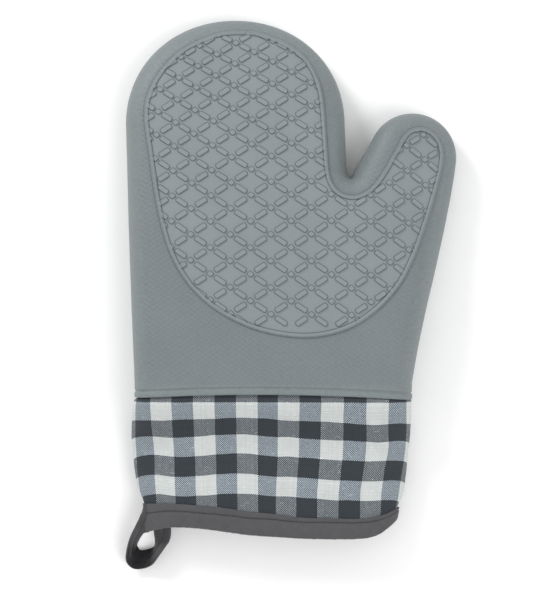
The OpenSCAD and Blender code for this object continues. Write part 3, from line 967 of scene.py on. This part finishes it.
# The binding's cross-section: how far up its width, and how far out from the cloth.
BINDING_SHAPE = ((1.0, 0.1), (1.005, 0.75), (0.985, 1.15), (0.94, 1.32), (0.86, 1.3), (0.81, 1.05),
                 (0.78, 0.85), (0.75, 1.05), (0.69, 1.4), (0.55, 1.55), (0.4, 1.5), (0.25, 1.5),
                 (0.12, 1.45), (0.04, 1.15), (-0.01, 0.3), (-0.025, -1.2), (-0.01, -2.9), (0.04, -3.7),
                 (0.12, -4.0), (0.3, -4.05), (0.6, -4.05), (0.9, -4.05), (0.97, -3.8), (0.97, -3.2),
                 (0.6, -3.15), (0.2, -3.1), (0.08, -2.4), (0.07, -1.2), (0.08, -0.2), (0.2, 0.05),
                 (0.6, 0.08))


def binding_rows(cuff, side, shape_points):
    """Rows of points round one side of the mouth for a profile of (share of width, lift)."""
    x = PLAN_X
    wide = through(BINDING_WIDE, x)
    groove = through(GROOVE_AT, x)
    ends = smooth(np.minimum(x + 80, 80 - x) / 14)
    rows = []
    for at, lift in shape_points:
        above = 1 - (1 - at) / (1 - SHAPE_GROOVE) * (1 - groove)
        share = np.where(at > SHAPE_GROOVE, above, at * groove / SHAPE_GROOVE)
        edge = 0.35 * ripple(x, 0 * x, 26, 21) * ends * max(at, 0) + 0.08 * ripple(x, 0 * x, 3.1, 8) * ends
        y = MOUTH_LOW + share * wide + edge
        base, higher = cuff.surface(side, y), cuff.surface(side, y + 0.4)
        n = unit(np.cross(np.gradient(base, axis=0), higher - base)) * side
        n[0], n[-1] = (-1, 0, 0), (1, 0, 0)
        puff = 0.16 * ripple(x, share * 12, 9, 31 + side) * ends * (lift > 0.5)
        rows.append(base + n * (lift + puff)[:, None])
    return np.array(rows)


def make_binding(cuff):
    front, back = (binding_rows(cuff, side, BINDING_SHAPE) for side in (1, -1))
    ring = np.concatenate([front, back[:, -2:0:-1]], axis=1)
    rows, columns = ring.shape[:2]
    down = np.cumsum(np.r_[0, np.linalg.norm(np.diff(ring[:, columns // 4], axis=0), axis=1)])
    across = np.cumsum(np.r_[0, np.linalg.norm(np.diff(ring[8], axis=0), axis=1)])
    flat = np.stack(np.broadcast_arrays(across[None, :], down[:, None]), 2)
    slope = flat @ (np.array([[1, -1], [1, 1]]) * 0.7071)              # the bias: 45 degrees to the weave
    shape = Shape()
    first = shape.add_grid(ring, slope, around=True)
    start = first + np.arange(columns)
    shape.join(start + (rows - 1) * columns, start, around=True)
    # Painted shade: the row in the stitch groove gets the darker inner colour.
    groove = np.zeros((rows, columns))
    groove[BINDING_GROOVE] = 1
    obj = shape.build("cuff_binding", BINDING_LOOK, {"inner": groove.ravel()})
    soften(obj, 60)
    return obj


# ---- threads and the loop -------------------------------------------------------------
SINK = 0.35                    # how deep a stitch's ends dip, as a share of its height


def thread_run(shape, path, ups, long, gap, radius):
    """Stitches along a path: each a short round thread that dips into the cloth at its ends."""
    at = along(path)
    start = gap / 2
    while start + long < at[-1]:
        here = np.linspace(start, start + long, 7)
        p = np.stack([np.interp(here, at, path[:, k]) for k in range(3)], 1)
        up = np.stack([np.interp(here, at, ups[:, k]) for k in range(3)], 1)
        up = unit(up)
        side = np.cross(unit(np.gradient(p, axis=0)), up)
        rise_up = np.sin(np.linspace(0, math.pi, 7)) ** 0.5
        p = p + up * ((rise_up - SINK) * radius * 1.4)[:, None]
        thick = radius * (0.55 + 0.45 * rise_up)
        turn = np.arange(8) * math.tau / 8
        ring = (p[:, None] + thick[:, None, None] * (np.cos(turn)[None, :, None] * side[:, None]
                                                     + np.sin(turn)[None, :, None] * up[:, None]))
        flat = np.stack(np.broadcast_arrays(here[:, None], turn[None] * radius), 2)
        first = shape.add_grid(ring, flat, around=True)
        shape.faces.append([first + i for i in range(8)][::-1])
        shape.faces.append([first + 48 + i for i in range(8)])
        start += long + gap


# The tape's upper edge and lower edge in the plan, and its middle's height. It is 12 wide.
LOOP_KNOTS = ((-77.8, -62.5, -70.3, -74.9, 15.2), (-78.8, -69.8, -73.5, -81.3, 14.4),
              (-81.8, -77.4, -78.3, -83.6, 10.6), (-85.3, -85.0, -82.0, -89.3, 7.8),
              (-87.5, -92.8, -82.6, -91.4, 6.4), (-88.1, -100.6, -82.0, -92.5, 4.8),
              (-84.4, -105.8, -80.2, -93.9, 3.1), (-78.6, -105.8, -76.7, -93.7, 3.1),
              (-73.1, -102.8, -73.2, -93.0, 4.6), (-68.9, -96.9, -71.0, -91.7, 6.3),
              (-65.3, -91.8, -70.9, -88.8, 6.8), (-62.3, -87.6, -71.2, -85.7, 7.4),
              (-61.2, -82.9, -71.6, -82.6, 8.4), (-61.1, -78.0, -71.8, -78.7, 9.8),
              (-61.3, -71.3, -72.0, -72.7, 11.2))
TAPE_WIDE = 12.0


def make_loop():
    """A strip of folded tape from the binding's corner, round and back inside the mouth."""
    run = spline(LOOP_KNOTS, 0.9)
    middle, lean = (run[:, :2] + run[:, 2:4]) / 2, (run[:, :2] - run[:, 2:4]) / TAPE_WIDE
    flatness = np.minimum(np.linalg.norm(lean, axis=1), 0.98)
    lean = unit(lean) * flatness[:, None]
    wide = np.column_stack([lean, np.sqrt(1 - flatness ** 2)])
    line = np.column_stack([middle, run[:, 4]])
    out = unit(np.cross(wide, unit(np.gradient(line, axis=0))))
    half, thick = TAPE_WIDE / 2, 0.95
    profile = [(-1.0, 0.0), (-0.97, 0.6), (-0.9, 0.95), (-0.7, 1.0), (-0.3, 1.0), (0.1, 0.95), (0.16, 0.5),
               (0.22, 0.9), (0.4, 1.0), (0.7, 1.0), (0.88, 0.95), (0.96, 0.6), (1.0, 0.0), (0.97, -0.7),
               (0.85, -1.0), (0.5, -1.0), (0.22, -0.9), (0.16, -0.5), (0.1, -0.95), (-0.5, -1.0), (-0.85, -1.0),
               (-0.97, -0.7)]
    profile = np.array(profile)
    at = along(line)
    wobble = 1 + 0.03 * np.sin(at / 4.3)
    ring = (line[:, None] + profile[None, :, :1] * half * wobble[:, None, None] * wide[:, None]
            + profile[None, :, 1:] * thick * out[:, None])
    rows, columns = ring.shape[:2]
    across = np.concatenate([[0], np.cumsum(np.linalg.norm(np.diff(ring[5], axis=0), axis=1))])
    flat = np.stack(np.broadcast_arrays(at[:, None], across[None]), 2)
    shape = Shape()
    first = shape.add_grid(ring, flat, around=True)
    shape.faces.append([first + i for i in range(columns)])
    shape.faces.append([first + (rows - 1) * columns + i for i in range(columns)][::-1])
    # Painted shadow: the inside face of the loop's lower turn gets the darker inner colour.
    turn = smooth((at / at[-1] - 0.28) / 0.12) * smooth((0.72 - at / at[-1]) / 0.12)
    inner = turn[:, None] * (profile[None, :, 1] > 0.4)
    obj = shape.build("hanging_loop_tape", LOOP_LOOK, {"inner": inner.ravel()})
    soften(obj, 60)
    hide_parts("hanging_loop")
    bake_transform(obj)


def make_threads(name, runs, look, node, long=2.2, gap=1.0, radius=0.24):
    shape = Shape()
    for path, ups in runs:
        thread_run(shape, path, ups, long, gap, radius)
    obj = shape.build(name, look)
    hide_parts(node)
    return obj


def make_stitches(cuff):
    """Every row of stitches, on the visual pieces' own surfaces."""
    runs = []
    for side in (1, -1):
        rows = binding_rows(cuff, side, ((0.775, 0.95), (0.775, 1.5)))
        low, high = (row[12:-12] for row in rows)
        runs.append((low, high - low))
    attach(make_threads("binding_stitches", runs, DARK_THREAD, "binding_stitching"), "cuff")

    x = np.linspace(-66, 68, 160)
    runs = []
    for side in (1, -1):
        d = np.minimum(x + 82.7, 84.9 - x) - 5.9
        z = skin_height(x, 0 * x + 7.5, d, side, 5.9)
        ups = np.column_stack([0 * x, 0 * x, 0 * x - side])
        runs.append((np.column_stack([x, 0 * x + 7.5, z]), ups))
    hem = make_threads("hem_stitches", runs, GREY_THREAD, "hem_stitching", 3.0, 0.9)
    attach(hem, "palm")

    y = np.linspace(-7, -57, 60)
    runs = []
    for edge, way in ((cuff.left(y) + 3.2, 1), (cuff.right(y) - 3.2, -1)):
        z = ease(y, (-90, -34, 0), (12.4, 12.6, 17.5))
        runs.append((np.column_stack([edge, y, z]), np.column_stack([0 * y + way, 0 * y, 0 * y])))
    over_hem(make_threads("side_seam_stitches", runs, WHITE_THREAD, "cuff_side_seams"))

    runs = []
    for x in (-69.5, -67.0, -64.5):
        y = np.linspace(-72.0, -76.5, 12)
        runs.append((np.column_stack([0 * y + x, y, np.linspace(12.2, 11.0, 12)]),
                     np.column_stack([0 * y, 0 * y, 0 * y + 1])))
    tack = make_threads("loop_tack_stitches", runs, DARK_THREAD, "loop_bar_tack", 1.1, 0.25, 0.3)
    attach(tack, "cuff")


# ---- build ----------------------------------------------------------------------------
SILICONE_LOOK = silicone_material()
WADDING_LOOK = wadding_material()
GINGHAM_LOOK = gingham_material()
LINING_LOOK = plain_cloth_material("lining_cotton_weave", LINING, 0.7, 0.12)
# The binding's darker inner colour is painted shade in its stitch groove.
BINDING_LOOK = plain_cloth_material("binding_twill", TAPE, 0.62, 0.3, inner=(0.026, 0.026, 0.028))
# The loop tape's darker inner colour is painted shadow inside its lower turn.
LOOP_LOOK = plain_cloth_material("loop_tape_weave", LOOP_TAPE, 0.62, 0.3, inner=(0.014, 0.014, 0.016))
DARK_THREAD = thread_material("dark_sewing_thread", (0.045, 0.044, 0.048))
GREY_THREAD = thread_material("grey_sewing_thread", (0.28, 0.30, 0.31))
WHITE_THREAD = thread_material("white_sewing_thread", (0.75, 0.75, 0.74))

outline = mitt_outline(OUTLINE_STEP)
grip = Grip()
lining_cut = enclosed(outline) + along(outline)[-1] * CUT_OUTSIDE * MM * MM
silicone = make_silicone(grip)
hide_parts("silicone_shell", "silicone_thumb")
over_thumb(silicone)

LAYERS = (("wadding", "palm", 1, 2.2, 5.0, 7.0), ("wadding", "back", -1, 2.2, 5.0, 7.0),
          ("lining", "palm", 1, 5.1, 5.8, 3.5), ("lining", "back", -1, 5.1, 5.8, 3.5))
for kind, part, side, outer, inner, hem_y in LAYERS:
    look, place = (WADDING_LOOK, "wadding") if kind == "wadding" else (LINING_LOOK, "lining_cotton")
    layer = make_layer(f"{part}_{kind}_layer", side, outer, inner, look, hem_y)
    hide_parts(f"{part}_side_{kind}", f"thumb_{part}_{kind}")
    over_thumb(layer)

cuff = Cuff()
for side, part in ((1, "front"), (-1, "back")):
    cloth = make_cuff_layer(cuff, f"gingham_{part}", side, GINGHAM_LOOK, CUFF_TOP, 0.0, -0.6)
    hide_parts(f"cuff_{part}_cloth")
    over_hem(cloth)
    inside = make_cuff_layer(cuff, f"cuff_lining_{part}", side, LINING_LOOK, 2.5, -0.8, -3.0)
    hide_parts(f"cuff_{part}_lining")
    over_hem(inside)

binding = make_binding(cuff)
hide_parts("edge_binding")
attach(binding, "cuff")
make_loop()
make_stitches(cuff)

# ---- floor and light ------------------------------------------------------------------
bpy.ops.mesh.primitive_plane_add(size=6, location=(0, 0.06, -0.0004))
floor = bpy.context.object
floor.name = "floor"
floor.data.materials.append(floor_material())


def softbox(name, place, aim, size, power):
    data = bpy.data.lights.new(name, "AREA")
    data.shape, data.size, data.energy = "DISK", size, power
    lamp = bpy.data.objects.new(name, data)
    lamp.location = place
    lamp.rotation_euler = (Vector(aim) - Vector(place)).to_track_quat("-Z", "Y").to_euler()
    bpy.context.scene.collection.objects.link(lamp)


softbox("key_softbox", (-0.85, 1.05, 0.80), (0, 0.06, 0), 0.5, 11.5)
softbox("fill_softbox", (0.9, -0.5, 1.3), (0, 0.06, 0), 1.2, 10)
world = bpy.context.scene.world or bpy.data.worlds.new("studio")
bpy.context.scene.world = world
world.use_nodes = True
world.node_tree.nodes["Background"].inputs[0].default_value = (1, 1, 1, 1)
world.node_tree.nodes["Background"].inputs[1].default_value = 0.80
bpy.context.scene.view_settings.view_transform = "Standard"
